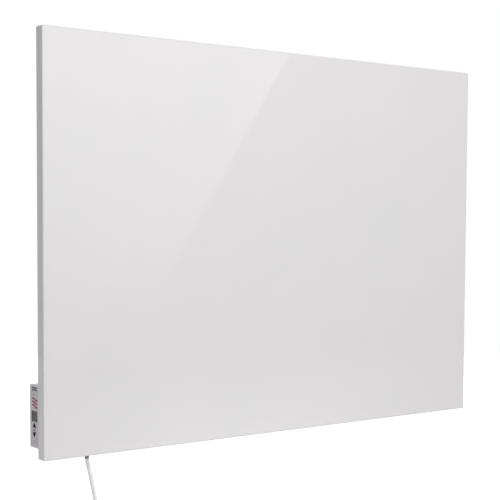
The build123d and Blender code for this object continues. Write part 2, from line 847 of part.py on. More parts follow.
def make_earth_tag():
    """Ring tag on the rear cover, with a tail that the earth core is soldered to."""
    y1 = cover_back + earth_tag_sheet
    tag = bar_y(earth_x, earth_z, earth_tag_radius, cover_back, y1)
    half = earth_tag_tail_width / 2
    tag += slab(earth_x - half, earth_x + half, cover_back, y1,
                earth_z - earth_tag_radius - earth_tag_tail, earth_z)
    return tag - bar_y(earth_x, earth_z, earth_radius + hole_clearance, cover_back - over, y1 + over)


def make_earth_screw():
    one = screw(earth_radius, earth_head, earth_head_height, earth_length + cover_sheet)
    return Pos(earth_x, cover_back + earth_tag_sheet, earth_z) * one


def make_supply_wires():
    """Live and neutral to the terminal block, earth to its tag, from the end of the lead's sheath."""
    z0 = shell_bottom + relief_flange_sheet + relief_inside
    turn_z = (z0 + board_z0) / 2
    runs = []
    for offset_x, way in ((-core_pitch, way_x[1]), (0.0, way_x[0])):
        x = exit_x + offset_x
        runs.append([(x, exit_y, z0), (x, exit_y, turn_z), (way, wire_y, turn_z + core_lean),
                     (way, wire_y, board_z0)])
    x = exit_x + core_pitch
    tail_z = earth_z - earth_tag_radius - earth_tag_tail / 2
    runs.append([(x, exit_y, z0), (x, exit_y, tail_z), (earth_x, exit_y, tail_z),
                 (earth_x, cover_back + earth_tag_sheet, tail_z)])
    return [wire(points, core_radius, core_bend) for points in runs]


# ---- mains lead ----
def make_strain_relief():
    """Moulded bush snapped into the box's bottom wall: a flange each side of it, and a tapered tail."""
    wall0, wall1 = box_bottom, box_bottom + control_wall
    flange0, flange1 = wall0 - relief_flange_sheet, wall1 + relief_flange_sheet
    profile = Polyline((0, wall0 - relief_length), (relief_tip, wall0 - relief_length),
                       (relief_root, flange0 - relief_shoulder), (relief_flange - relief_chamfer, flange0),
                       (relief_flange, flange0 + relief_chamfer), (relief_flange, wall0),
                       (relief_neck, wall0), (relief_neck, wall1), (relief_flange, wall1),
                       (relief_flange - relief_barb, flange1), (relief_root, flange1),
                       (relief_root, flange1 + relief_inside), (0, flange1 + relief_inside), close=True)
    face = make_face(Plane.XZ * profile)
    return Pos(exit_x, exit_y, 0) * revolve(face, Axis.Z)


def cord_points():
    return [Vector(exit_x + right_by, exit_y, tip_z - down_by) for right_by, down_by in cord_route]


def arc_radii(points):
    """Each corner's arc takes the set share of its shorter run."""
    radii = []
    for before, here, after in zip(points, points[1:], points[2:]):
        half_turn = math.radians((here - before).get_angle(after - here)) / 2
        radii.append(arc_share * min((here - before).length, (after - here).length) / math.tan(half_turn))
    return radii


def make_power_cord():
    points = cord_points()
    radii = arc_radii(points)
    path = FilletPolyline(*points, radius=radii)
    tube = sweep(Plane(path @ 0, z_dir=path % 0) * Circle(cord_diameter / 2), path)
    expected = math.pi * cord_diameter ** 2 / 4 * path.length
    print("power_cord radii", [round(r) for r in radii], "length", round(path.length, 1),
          "volume over section times length", round(tube.volume / expected, 4))
    return tube, path.length


def coil_radii(free_length):
    """Half turn radii: down by half a pitch each to the turn back, then up again, for the length left."""
    steps = [abs(k - coil_turn_back) for k in range(coil_half_turns)]
    wound = cord_length - free_length - tail_length - 2 * cord_diameter
    smallest = (wound / math.pi - coil_pitch / 2 * sum(steps)) / coil_half_turns
    return [smallest + coil_pitch / 2 * step for step in steps]


def coil_path(free_length):
    """Half circles, lower and upper in turn, joined at the coil's level; one leans into the next layer."""
    start = cord_points()[-1]
    level = start.Z - cord_diameter
    x, y = start.X, start.Y
    edges = [Line(start, (x, y, level))]
    for k, radius in enumerate(coil_radii(free_length)):
        way = -1 if k % 2 == 0 else 1
        next_x = x + way * 2 * radius
        next_y = y - coil_pitch if k == coil_turn_back else y
        half_chord = math.hypot(next_x - x, next_y - y) / 2
        middle = ((x + next_x) / 2, (y + next_y) / 2, level + way * half_chord)
        edges.append(ThreePointArc((x, y, level), middle, (next_x, next_y, level)))
        x, y = next_x, next_y
    edges.append(Line((x, y, level), (x, y, level - cord_diameter)))
    return Wire([edge for line in edges for edge in line.edges()])


def least_gap(path):
    """Least clear distance between any two stretches of the coil."""
    points = np.array([tuple(path.position_at(share)) for share in spread(0.0, 1.0, gap_points)])
    apart = int(gap_reach * (gap_points - 1) / path.length)
    gaps = [np.linalg.norm(points[i + apart:] - points[i], axis=1).min() for i in range(gap_points - apart)]
    return min(gaps) - cord_diameter


def make_cord_coil(free_length):
    path = coil_path(free_length)
    tube = sweep(Plane(path @ 0, z_dir=path % 0) * Circle(cord_diameter / 2), path)
    expected = math.pi * cord_diameter ** 2 / 4 * path.length
    print("cord_coil radii", [round(r, 1) for r in coil_radii(free_length)], "length", round(path.length, 1),
          "volume over section times length", round(tube.volume / expected, 4),
          "least gap", round(float(least_gap(path)), 2))
    return tube


def coil_end():
    start = cord_points()[-1]
    return start.X, start.Y - coil_pitch, start.Z - 2 * cord_diameter


def make_cord_tail():
    x, y, z = coil_end()
    return bar_z(x, y, cord_diameter / 2, z - tail_length, z)


def make_cord_tie():
    """Strap round the turns where both ends of the coil pass, its two ends twisted together in front."""
    x, y, z = coil_end()
    level = z + cord_diameter
    strands = (coil_half_turns - coil_turn_back - 1) // 2
    half = cord_diameter / 2 + tie_gap
    x0, x1 = x - strands * coil_pitch - half, x + half
    y0, y1 = y - half, y + coil_pitch + half
    z0, z1 = level - tie_width / 2, level + tie_width / 2
    inner = fillet(slab(x0, x1, y0, y1, z0 - over, z1 + over).edges().filter_by(Axis.Z), cord_diameter / 2)
    outer = slab(x0 - tie_sheet, x1 + tie_sheet, y0 - tie_sheet, y1 + tie_sheet, z0, z1)
    outer = fillet(outer.edges().filter_by(Axis.Z), cord_diameter / 2 + tie_sheet)
    middle = (x0 + x1) / 2
    twist = bar_y(middle, level, tie_tail_radius, y0 - tie_sheet - tie_tail, y0 - tie_sheet + tiny)
    return outer - inner + rounded(twist, tie_tail_edge, lambda c: c.Y < y0 - tie_sheet - tie_tail + tiny)


def make_plug_body():
    """Moulded plug, pins down: ribbed boot, domed shoulder, round body with a notch for each earth clip."""
    x, y, top_z = coil_end()
    top_z -= tail_length
    root_z = top_z - boot_length
    straight_z = root_z - plug_shoulder
    face_z = straight_z - plug_face_depth
    face = Polyline((0, face_z), (plug_radius - plug_edge, face_z), (plug_radius, face_z + plug_edge),
                    (plug_radius, straight_z))
    half_way = math.sqrt(0.5)
    dome = ThreePointArc((plug_radius, straight_z),
                         (boot_root + (plug_radius - boot_root) * half_way,
                          straight_z + plug_shoulder * half_way), (boot_root, root_z))
    bands = 2 * boot_rings + 1
    steps = [(boot_root, root_z)]
    for i in range(bands):
        radius = boot_root + (boot_tip - boot_root) * (i + 0.5) / bands - ring_depth * (i % 2)
        steps += [(radius, root_z + boot_length * end / bands) for end in (i, i + 1)]
    boot = Polyline(*steps, (0, top_z), (0, face_z))
    body = Pos(x, y, 0) * revolve(make_face(Plane.XZ * (face + dome + boot)), Axis.Z)
    for side in (-1, 1):
        edge = y + side * plug_radius
        inside = y + side * (plug_radius - notch_depth)
        body -= slab(x - notch_width / 2, x + notch_width / 2, min(edge + side, inside),
                     max(edge + side, inside), face_z - over, face_z + notch_height)
    body -= bar_z(x, y + pin_hole_offset, pin_hole_radius, face_z - over, face_z + pin_hole_depth)
    return body, face_z


def make_plug_pins(face_z):
    x, y, _ = coil_end()
    pins = []
    for side in (-1, 1):
        pin = bar_z(x + side * pin_pitch / 2, y, pin_radius, face_z - pin_length, face_z)
        pins.append(rounded(pin, pin_radius * 0.6, lambda c: c.Z < face_z - pin_length + tiny))
    return pins


def make_plug_earth_clips(face_z):
    """A spring strip in each notch."""
    x, y, _ = coil_end()
    half = notch_width / 2 - clip_inset
    clips = []
    for side in (-1, 1):
        inside = y + side * (plug_radius - notch_depth)
        outside = inside + side * clip_sheet
        clip = slab(x - half, x + half, min(inside, outside), max(inside, outside),
                    face_z + clip_inset, face_z + notch_height - clip_inset)
        clips.append(fillet(clip.edges().filter_by(Axis.Y), clip_corner))
    return clips


def assemble():
    """Every node by name: one solid, or a list of identical ones."""
    nodes = {
        "front_panel": make_front_panel(),
        "rear_cover": make_rear_cover(),
        "cover_screws": make_cover_screws(),
        "mica_front": make_mica(front_inside, False),
        "heating_track": make_heating_track(),
        "element_terminals": make_element_terminals(),
        "mica_rear": make_mica(track_back, True),
        "thermal_cutout": make_thermal_cutout(),
        "element_leads": make_element_leads(),
        "reflector_foil": make_reflector_foil(),
        "insulation_mat": make_insulation_mat(),
        "lead_grommet": make_lead_grommet(),
        "earth_tag": make_earth_tag(),
        "earth_screw": make_earth_screw(),
        "bracket_rivets": make_bracket_rivets(),
        "control_base": make_control_base(),
        "base_rivets": make_base_rivets(),
        "control_cover": make_control_cover(),
        "box_screws": make_box_screws(),
        "fascia_label": make_fascia_label(),
        "display_window": make_display_window(),
        "display_module": make_display_module(),
        "display_board": make_display_board(),
        "display_screws": make_display_screws(),
        "temperature_sensor": make_temperature_sensor(),
        "key_switches": make_key_switches(),
        "power_board": make_power_board(),
        "board_screws": make_board_screws(),
        "relay": on_board(relay_size, relay_at),
        "mains_capacitor": on_board(film_size, film_at),
        "smoothing_capacitor": make_smoothing_capacitor(),
        "fuse": make_fuse(),
        "terminal_block": make_terminal_block(),
        "ribbon_cable": make_ribbon_cable(),
        "supply_wires": make_supply_wires(),
        "strain_relief": make_strain_relief(),
    }
    for corner, (x, z) in bracket_places().items():
        nodes["wall_bracket_" + corner] = make_bracket(x, z)
    for name, (outline, y, z) in buttons().items():
        nodes[name + "_cap"] = make_cap(outline, y, z)
        nodes[name + "_plunger"] = make_plunger(y, z)
    nodes["power_cord"], free_length = make_power_cord()
    nodes["cord_coil"] = make_cord_coil(free_length)
    nodes["cord_tail"] = make_cord_tail()
    nodes["cord_tie"] = make_cord_tie()
    nodes["plug_body"], face_z = make_plug_body()
    nodes["plug_pins"] = make_plug_pins(face_z)
    nodes["plug_earth_clips"] = make_plug_earth_clips(face_z)
    return nodes


os.makedirs("parts", exist_ok=True)
for name, shape in assemble().items():
    solids = shape if isinstance(shape, list) else [shape]
    export_step(Compound([solid for one in solids for solid in one.solids()]), f"parts/{name}.step")
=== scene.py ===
import math

import bpy
import numpy as np
from mathutils import Matrix, Vector


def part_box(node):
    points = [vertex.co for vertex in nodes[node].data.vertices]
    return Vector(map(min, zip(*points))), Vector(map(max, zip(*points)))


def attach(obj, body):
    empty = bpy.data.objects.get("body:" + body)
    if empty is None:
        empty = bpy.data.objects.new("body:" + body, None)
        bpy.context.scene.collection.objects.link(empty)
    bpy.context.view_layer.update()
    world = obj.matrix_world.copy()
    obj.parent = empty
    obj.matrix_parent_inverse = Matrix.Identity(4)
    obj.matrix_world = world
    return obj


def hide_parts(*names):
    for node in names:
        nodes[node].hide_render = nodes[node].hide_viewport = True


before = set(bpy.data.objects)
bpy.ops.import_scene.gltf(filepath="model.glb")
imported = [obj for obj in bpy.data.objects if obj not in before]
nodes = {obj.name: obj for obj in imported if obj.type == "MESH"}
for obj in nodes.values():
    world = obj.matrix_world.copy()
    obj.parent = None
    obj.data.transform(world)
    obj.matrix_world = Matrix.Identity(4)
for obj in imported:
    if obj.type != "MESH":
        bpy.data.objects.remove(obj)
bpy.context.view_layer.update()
scene = bpy.context.scene
mm = 0.001


def linear(hexText):  # sRGB hex to linear RGBA
    channels = [int(hexText[i:i + 2], 16) / 255 for i in (1, 3, 5)]
    return [c / 12.92 if c <= 0.04045 else ((c + 0.055) / 1.055) ** 2.4 for c in channels] + [1.0]


def addNode(tree, kind, inputs=None, out=None, **settings):
    # one node with its settings; an input is a link, a value or a hex colour; out picks what comes back
    # a colour Mix has its share at input 0, its two colours at 6 and 7, and its result at output 2
    node = tree.nodes.new(kind)
    for name, value in settings.items():
        setattr(node, name, value)
    for key, value in (inputs or {}).items():
        if isinstance(value, bpy.types.NodeSocket):
            tree.links.new(value, node.inputs[key])
        else:
            node.inputs[key].default_value = linear(value) if isinstance(value, str) else value
    return node if out is None else node.outputs[out]


def clearTree(owner):  # the emptied node tree of a material or a world
    owner.use_nodes = True
    owner.node_tree.nodes.clear()
    return owner.node_tree


def makeFinish(name, pattern, look):
    # a finish: its pattern works on Object coordinates and gives the shader's inputs
    material = bpy.data.materials.new(name)
    tree = clearTree(material)
    place = addNode(tree, "ShaderNodeTexCoord", out="Object")
    surface = addNode(tree, "ShaderNodeBsdfPrincipled", pattern(tree, place, look), "BSDF")
    addNode(tree, "ShaderNodeOutputMaterial", {"Surface": surface})
    return material


def addMesh(name, points, faces, material):
    mesh = bpy.data.meshes.new(name)
    mesh.from_pydata(points, [], faces)
    mesh.materials.append(material)
    return mesh


def addObject(name, data):
    thing = bpy.data.objects.new(name, data)
    scene.collection.objects.link(thing)
    return thing


def nodeCentre(name):
    low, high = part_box(name)
    return (low + high) / 2


finishes = {}


# finishes with an even grain: moulded, painted, printed and rubber
grainLooks = {
    # ABS from a spark-eroded tool: close matt grain, about 0.5 mm as drawn, cool white
    "mouldedAbsWhite": dict(colour="#E9E7EA", shade="#E2E0E3", roughness=0.42, grain=0.5 * mm,
                            patch=30 * mm, height=0.012 * mm),
    # soft-touch key caps, black with a trace of red, all but free of gloss
    "softTouchBlack": dict(colour="#140C10", shade="#1B1318", roughness=0.55, grain=0.35 * mm,
                           patch=4 * mm, height=0.008 * mm, specular=0.12),
    # ABS key cap, pale grey
    "mouldedAbsGrey": dict(colour="#F0EFF4", shade="#E6E5EA", roughness=0.36, grain=0.35 * mm,
                           patch=4 * mm, height=0.008 * mm),
    # satin polyester film with a faint lilac print tint
    "polyesterLabelFilm": dict(colour="#D6D1D9", shade="#CFCAD3", roughness=0.34, grain=0.25 * mm,
                               patch=14 * mm, height=0.003 * mm),
    # screen-printed ink on the film: dense, slightly broken at the edge of the mesh
    "printedInkGrey": dict(colour="#373A41", shade="#4A4D54", roughness=0.5, grain=0.3 * mm,
                           patch=2 * mm, height=0.004 * mm),
    "printedInkRed": dict(colour="#8C2038", shade="#9C3450", roughness=0.5, grain=0.3 * mm,
                          patch=2 * mm, height=0.004 * mm),
    # the pale ink of the ring round the power cap: a painted highlight for the light on the cap's rim
    "paleRingPaintedHighlight": dict(colour="#F2F1F5", shade="#E6E5EA", roughness=0.5, grain=0.3 * mm,
                           patch=2 * mm, height=0.004 * mm),
    # diffusing resin of the unlit figure segments
    "segmentResin": dict(colour="#8D8480", shade="#7C736F", roughness=0.45, grain=0.3 * mm,
                         patch=2 * mm, height=0.003 * mm),
    # stoved powder paint on the rear sheet: fine pebble, about 0.9 mm
    "powderCoatedSteel": dict(colour="#D8D8DA", shade="#D3D3D5", roughness=0.46, grain=0.9 * mm,
                              patch=130 * mm, height=0.02 * mm),
    # phenolic moulding, black with a dusty grain
    "phenolicBlack": dict(colour="#151212", shade="#2A2422", roughness=0.5, grain=0.3 * mm,
                          patch=3 * mm, height=0.01 * mm),
    # silicone lead, off-white and slightly greasy
    "siliconeSheath": dict(colour="#D9D3C6", shade="#CBC4B5", roughness=0.38, grain=0.8 * mm,
                           patch=9 * mm, height=0.01 * mm),
    # EPDM grommet, bloomed black
    "epdmRubber": dict(colour="#1B1B1C", shade="#2B2A2A", roughness=0.62, grain=0.4 * mm,
                       patch=5 * mm, height=0.012 * mm),
    # soft PVC strain relief, mid grey: painted shade, the grey standing in for the panel's shadow on the top
    # of the white lead
    "paintedShadeGreyPvc": dict(colour="#76777A", shade="#828387", roughness=0.5, grain=0.5 * mm,
                        patch=7 * mm, height=0.012 * mm),
    # extruded PVC sheath: smooth white with a slow unevenness from the cores under it
    "extrudedPvcWhite": dict(colour="#FBFBF9", shade="#F5F5F3", roughness=0.3, grain=4.5 * mm,
                             patch=26 * mm, height=0.05 * mm),
    # moulded PVC plug, finely eroded
    "mouldedPvcWhite": dict(colour="#EDEDEB", shade="#E3E3E0", roughness=0.4, grain=0.6 * mm,
                            patch=12 * mm, height=0.014 * mm),
    # plastic-covered wire tie
    "coveredTie": dict(colour="#E4E4E2", shade="#D6D6D3", roughness=0.45, grain=0.6 * mm,
                       patch=5 * mm, height=0.015 * mm),
    # polyamide terminal block, green
    "polyamideGreen": dict(colour="#1F6B3A", shade="#185A30", roughness=0.42, grain=0.4 * mm,
                           patch=5 * mm, height=0.01 * mm),
    # relay case, blue PBT
    "pbtBlue": dict(colour="#1D4FA3", shade="#184390", roughness=0.32, grain=0.5 * mm,
                    patch=6 * mm, height=0.006 * mm),
    # film capacitor case, ochre
    "filmCaseOchre": dict(colour="#C69A2B", shade="#B58A20", roughness=0.4, grain=0.6 * mm,
                          patch=6 * mm, height=0.012 * mm),
}
# the noises' detail, the levels between which they change tone and gloss, and the least and the
# greatest roughness, as shares of the finish's own
grainSpread = dict(fineDetail=3.0, broadDetail=2.0, toneLow=0.12, toneHigh=0.38, glossLow=0.3,
                   glossHigh=0.7, smoothest=0.9, roughest=1.15, specular=0.5)


def closeGrain(tree, place, look):  # fine noise for the bump, broad for the gloss, their product for the tone
    fine = addNode(tree, "ShaderNodeTexNoise", {"Vector": place, "Scale": 1 / look["grain"],
                                                "Detail": grainSpread["fineDetail"]}, "Fac")
    broad = addNode(tree, "ShaderNodeTexNoise", {"Vector": place, "Scale": 1 / look["patch"],
                                                 "Detail": grainSpread["broadDetail"]}, "Fac")
    both = addNode(tree, "ShaderNodeMath", {0: fine, 1: broad}, "Value", operation="MULTIPLY")
    share = addNode(tree, "ShaderNodeMapRange", {"Value": both, "From Min": grainSpread["toneLow"],
                                                 "From Max": grainSpread["toneHigh"]}, "Result")
    tone = addNode(tree, "ShaderNodeMix", {0: share, 6: look["colour"], 7: look["shade"]}, 2,
                   data_type="RGBA")
    rough = addNode(tree, "ShaderNodeMapRange", {"Value": broad, "From Min": grainSpread["glossLow"],
                                                 "From Max": grainSpread["glossHigh"],
                                                 "To Min": look["roughness"] * grainSpread["smoothest"],
                                                 "To Max": look["roughness"] * grainSpread["roughest"]},
                    "Result")
    bump = addNode(tree, "ShaderNodeBump", {"Height": fine, "Distance": look["height"]}, "Normal")
    return {"Base Color": tone, "Roughness": rough, "Normal": bump,
            "Specular IOR Level": look.get("specular", grainSpread["specular"])}


finishes.update({name: makeFinish(name, closeGrain, look) for name, look in grainLooks.items()})
print("moulded and painted finishes", len(finishes))


# the casing's enamel
enamelLook = dict(colour="#EEEBEC", shade="#ECEAEB", roughness=0.03, ior=1.5, peel=2.6 * mm,
                  peelHeight=0.0007 * mm, peelDetail=1.0, patch=160 * mm, toneLow=0.35, toneHigh=0.65)


def peeledEnamel(tree, place, look):  # stove enamel: mirror-smooth white with the least orange peel
    peel = addNode(tree, "ShaderNodeTexNoise", {"Vector": place, "Scale": 1 / look["peel"],
                                                "Detail": look["peelDetail"]}, "Fac")
    patch = addNode(tree, "ShaderNodeTexNoise", {"Vector": place, "Scale": 1 / look["patch"]}, "Fac")
    share = addNode(tree, "ShaderNodeMapRange", {"Value": patch, "From Min": look["toneLow"],
                                                 "From Max": look["toneHigh"]}, "Result")
    tone = addNode(tree, "ShaderNodeMix", {0: share, 6: look["colour"], 7: look["shade"]}, 2,
                   data_type="RGBA")
    bump = addNode(tree, "ShaderNodeBump", {"Height": peel, "Distance": look["peelHeight"]}, "Normal")
    return {"Base Color": tone, "Roughness": look["roughness"], "IOR": look["ior"], "Normal": bump}


finishes["stoveEnamelWhite"] = makeFinish("stoveEnamelWhite", peeledEnamel, enamelLook)


# plated and coated metals
metalLooks = {
    # bright zinc on screws and rivets: turned rings too fine to show, a faint blue and straw cast
    "zincPlatedSteel": dict(colour="#C5CBD2", shade="#CDC7B4", roughness=0.26, streak=(1, 1, 1),
                            grain=0.5 * mm, patch=2.5 * mm, height=0.004 * mm),
    # nickel-chrome foil track, drawn with heat tint
    "resistanceAlloy": dict(colour="#8D8984", shade="#6F6258", roughness=0.4, streak=(0.1, 1, 1),
                            grain=1.2 * mm, patch=40 * mm, height=0.004 * mm),
    # turned brass, slightly dulled
    "dulledBrass": dict(colour="#B8964F", shade="#96763A", roughness=0.33, streak=(1, 1, 1),
                        grain=0.4 * mm, patch=4 * mm, height=0.004 * mm),
    # nickel-plated pins
    "nickelPlate": dict(colour="#CFCBC1", shade="#BDB9AE", roughness=0.16, streak=(1, 1, 0.1),
                        grain=0.3 * mm, patch=5 * mm, height=0.001 * mm),
    # tinned spring strip of the earth clips
    "tinnedSpring": dict(colour="#C2C4C6", shade="#A6A8AA", roughness=0.3, streak=(1, 1, 0.08),
                         grain=0.4 * mm, patch=5 * mm, height=0.003 * mm),
}
# the same for metals: streaks change the gloss and patches the tone
metalSpread = dict(streakDetail=4.0, patchDetail=3.0, toneLow=0.35, toneHigh=0.7, glossLow=0.3,
                   glossHigh=0.7, smoothest=0.8, roughest=1.3)


def platedMetal(tree, place, look):  # fine streaks along the work's direction, slow tint over them
    along = addNode(tree, "ShaderNodeMapping", {"Vector": place, "Scale": look["streak"]}, "Vector")
    streaks = addNode(tree, "ShaderNodeTexNoise", {"Vector": along, "Scale": 1 / look["grain"],
                                                   "Detail": metalSpread["streakDetail"]}, "Fac")
    patch = addNode(tree, "ShaderNodeTexNoise", {"Vector": place, "Scale": 1 / look["patch"],
                                                 "Detail": metalSpread["patchDetail"]}, "Fac")
    share = addNode(tree, "ShaderNodeMapRange", {"Value": patch, "From Min": metalSpread["toneLow"],
                                                 "From Max": metalSpread["toneHigh"]}, "Result")
    tone = addNode(tree, "ShaderNodeMix", {0: share, 6: look["colour"], 7: look["shade"]}, 2,
                   data_type="RGBA")
    rough = addNode(tree, "ShaderNodeMapRange", {"Value": streaks, "From Min": metalSpread["glossLow"],
                                                 "From Max": metalSpread["glossHigh"],
                                                 "To Min": look["roughness"] * metalSpread["smoothest"],
                                                 "To Max": look["roughness"] * metalSpread["roughest"]},
                    "Result")
    bump = addNode(tree, "ShaderNodeBump", {"Height": streaks, "Distance": look["height"]}, "Normal")
    return {"Base Color": tone, "Roughness": rough, "Metallic": 1.0, "Normal": bump}


finishes.update({name: makeFinish(name, platedMetal, look) for name, look in metalLooks.items()})

spangleLook = dict(colour="#C3C7CB", shade="#A4A9AF", roughness=0.32, smoothest=0.8, roughest=1.4,
                   spangle=7 * mm, line=0.7 * mm, lineDetail=3.0, height=0.004 * mm)


def zincSpangle(tree, place, look):  # hot-dip sheet: crystals about 7 mm across, each with its own gloss
    cells = addNode(tree, "ShaderNodeTexVoronoi", {"Vector": place, "Scale": 1 / look["spangle"]})
    crystal = addNode(tree, "ShaderNodeSeparateColor", {"Color": cells.outputs["Color"]})
    tone = addNode(tree, "ShaderNodeMix", {0: crystal.outputs[0], 6: look["colour"], 7: look["shade"]}, 2,
                   data_type="RGBA")
    rough = addNode(tree, "ShaderNodeMapRange", {"Value": crystal.outputs[1],
                                                 "To Min": look["roughness"] * look["smoothest"],
                                                 "To Max": look["roughness"] * look["roughest"]}, "Result")
    lines = addNode(tree, "ShaderNodeTexNoise", {"Vector": place, "Scale": 1 / look["line"],
                                                 "Detail": look["lineDetail"]}, "Fac")
    bump = addNode(tree, "ShaderNodeBump", {"Height": lines, "Distance": look["height"]}, "Normal")
    return {"Base Color": tone, "Roughness": rough, "Metallic": 1.0, "Normal": bump}


finishes["zincCoatedSheet"] = makeFinish("zincCoatedSheet", zincSpangle, spangleLook)

# the foil's shade colour is painted shade, laid along the creases
foilLook = dict(colour="#D7D9DB", shade="#B9BCC0", roughness=0.22, crease=24 * mm, foldShare=0.25,
                creaseHeight=0.3 * mm, creaseStrength=0.7)


def foilCreases(tree, place, look):  # aluminium foil: soft creases on cell edges, about 24 mm apart, painted darker along them as painted shade
    edge = addNode(tree, "ShaderNodeTexVoronoi", {"Vector": place, "Scale": 1 / look["crease"]}, "Distance",
                   feature="DISTANCE_TO_EDGE")
    creaseReliefAndShade = addNode(tree, "ShaderNodeMapRange", {"Value": edge, "From Max": look["foldShare"]}, "Result")
    tone = addNode(tree, "ShaderNodeMix", {0: creaseReliefAndShade, 6: look["shade"], 7: look["colour"]}, 2,
                   data_type="RGBA")
    bump = addNode(tree, "ShaderNodeBump", {"Height": creaseReliefAndShade, "Strength": look["creaseStrength"],
                                            "Distance": look["creaseHeight"]}, "Normal")
    return {"Base Color": tone, "Roughness": look["roughness"], "Metallic": 1.0, "Normal": bump}


finishes["creasedAluminiumFoil"] = makeFinish("creasedAluminiumFoil", foilCreases, foilLook)


# mica and wool round the heating element
micaLook = dict(colour="#A58F69", shade="#6F5C3F", roughness=0.3, roughest=1.7, flake=5 * mm,
                flakeHeight=0.02 * mm, flakeStrength=0.6, pearl=0.25, pearlRoughness=0.2)


def micaFlakes(tree, place, look):  # mica paper pressed to board: overlapping pearly flakes of about 5 mm
    flakes = addNode(tree, "ShaderNodeTexVoronoi", {"Vector": place, "Scale": 1 / look["flake"]}, "Color")
    level = addNode(tree, "ShaderNodeSeparateColor", {"Color": flakes}, 0)
    tone = addNode(tree, "ShaderNodeMix", {0: level, 6: look["shade"], 7: look["colour"]}, 2,
                   data_type="RGBA")
    rough = addNode(tree, "ShaderNodeMapRange", {"Value": level, "To Min": look["roughness"],
                                                 "To Max": look["roughness"] * look["roughest"]}, "Result")
    bump = addNode(tree, "ShaderNodeBump", {"Height": level, "Strength": look["flakeStrength"],
                                            "Distance": look["flakeHeight"]}, "Normal")
    return {"Base Color": tone, "Roughness": rough, "Normal": bump, "Coat Weight": look["pearl"],
            "Coat Roughness": look["pearlRoughness"]}


finishes["pressedMica"] = makeFinish("pressedMica", micaFlakes, micaLook)

woolLook = dict(colour="#CDBB7C", shade="#8F7B46", roughness=0.95, fibre=1.6 * mm, fibreDetail=6.0,
                curl=1.2, drawn=(0.12, 1, 1), lay=22 * mm, toneLow=0.7, toneHigh=1.3,
                fibreHeight=0.5 * mm, fibreStrength=0.9, fuzz=0.3, fuzzRoughness=0.6)


def woolFibres(tree, place, look):  # spun fibres: noise drawn out along X, in slow light and dark drifts
    along = addNode(tree, "ShaderNodeMapping", {"Vector": place, "Scale": look["drawn"]}, "Vector")
    fibre = addNode(tree, "ShaderNodeTexNoise", {"Vector": along, "Scale": 1 / look["fibre"],
                                                 "Detail": look["fibreDetail"],
                                                 "Distortion": look["curl"]}, "Fac")
    lay = addNode(tree, "ShaderNodeTexNoise", {"Vector": place, "Scale": 1 / look["lay"]}, "Fac")
    both = addNode(tree, "ShaderNodeMath", {0: fibre, 1: lay}, "Value", operation="ADD")
    share = addNode(tree, "ShaderNodeMapRange", {"Value": both, "From Min": look["toneLow"],
                                                 "From Max": look["toneHigh"]}, "Result")
    tone = addNode(tree, "ShaderNodeMix", {0: share, 6: look["shade"], 7: look["colour"]}, 2,
                   data_type="RGBA")
    bump = addNode(tree, "ShaderNodeBump", {"Height": fibre, "Strength": look["fibreStrength"],
                                            "Distance": look["fibreHeight"]}, "Normal")
    return {"Base Color": tone, "Roughness": look["roughness"], "Normal": bump,
            "Sheen Weight": look["fuzz"], "Sheen Roughness": look["fuzzRoughness"]}


finishes["spunMineralWool"] = makeFinish("spunMineralWool", woolFibres, woolLook)
print("metal and element finishes", len(finishes))


# boards, ribbon, cores, fuse, can and lens
boardLook = dict(mask="#0D4A2C", track="#14683C", roughness=0.3, pitch=3.2 * mm, scatter=0.8,
                 trackLow=0.36, trackHigh=0.42, copperHeight=0.035 * mm)


def maskedTracks(tree, place, look):  # green lacquer over copper: tracks follow square cells 3.2 mm apart
    cells = addNode(tree, "ShaderNodeTexVoronoi", {"Vector": place, "Scale": 1 / look["pitch"],
                                                   "Randomness": look["scatter"]}, "Distance",
                    distance="CHEBYCHEV")
    copper = addNode(tree, "ShaderNodeMapRange", {"Value": cells, "From Min": look["trackLow"],
                                                  "From Max": look["trackHigh"]}, "Result")
    tone = addNode(tree, "ShaderNodeMix", {0: copper, 6: look["mask"], 7: look["track"]}, 2,
                   data_type="RGBA")
    bump = addNode(tree, "ShaderNodeBump", {"Height": copper, "Distance": look["copperHeight"]}, "Normal")
    return {"Base Color": tone, "Roughness": look["roughness"], "Normal": bump}


finishes["greenSolderMask"] = makeFinish("greenSolderMask", maskedTracks, boardLook)

ribbonLook = dict(colour="#8E9093", marked="#A02A26", roughness=0.36, pitch=1.27 * mm, groove=0.2 * mm)


def ribbonCores(tree, place, look):  # cores 1.27 mm apart show as ridges, and the first core is red
    height = addNode(tree, "ShaderNodeSeparateXYZ", {"Vector": place}, "Z")
    wave = addNode(tree, "ShaderNodeMath", {0: height, 1: 2 * math.pi / look["pitch"]}, "Value",
                   operation="MULTIPLY")
    ridge = addNode(tree, "ShaderNodeMath", {0: wave}, "Value", operation="SINE")
    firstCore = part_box("ribbon_cable")[1].z - look["pitch"]
    isFirst = addNode(tree, "ShaderNodeMath", {0: height, 1: firstCore}, "Value",
                      operation="GREATER_THAN")
    tone = addNode(tree, "ShaderNodeMix", {0: isFirst, 6: look["colour"], 7: look["marked"]}, 2,
                   data_type="RGBA")
    bump = addNode(tree, "ShaderNodeBump", {"Height": ridge, "Distance": look["groove"]}, "Normal")
    return {"Base Color": tone, "Roughness": look["roughness"], "Normal": bump}


finishes["greyRibbonPvc"] = makeFinish("greyRibbonPvc", ribbonCores, ribbonLook)

coreLook = dict(live="#5A3216", neutral="#2459A8", earth="#B9B52A", earthBand="#2C7A34", roughness=0.32,
                lean=0.32, band=5 * mm, bandLow=0.45, bandHigh=0.55, betweenPair=-1.25 * mm,
                beforeEarth=1.2 * mm)


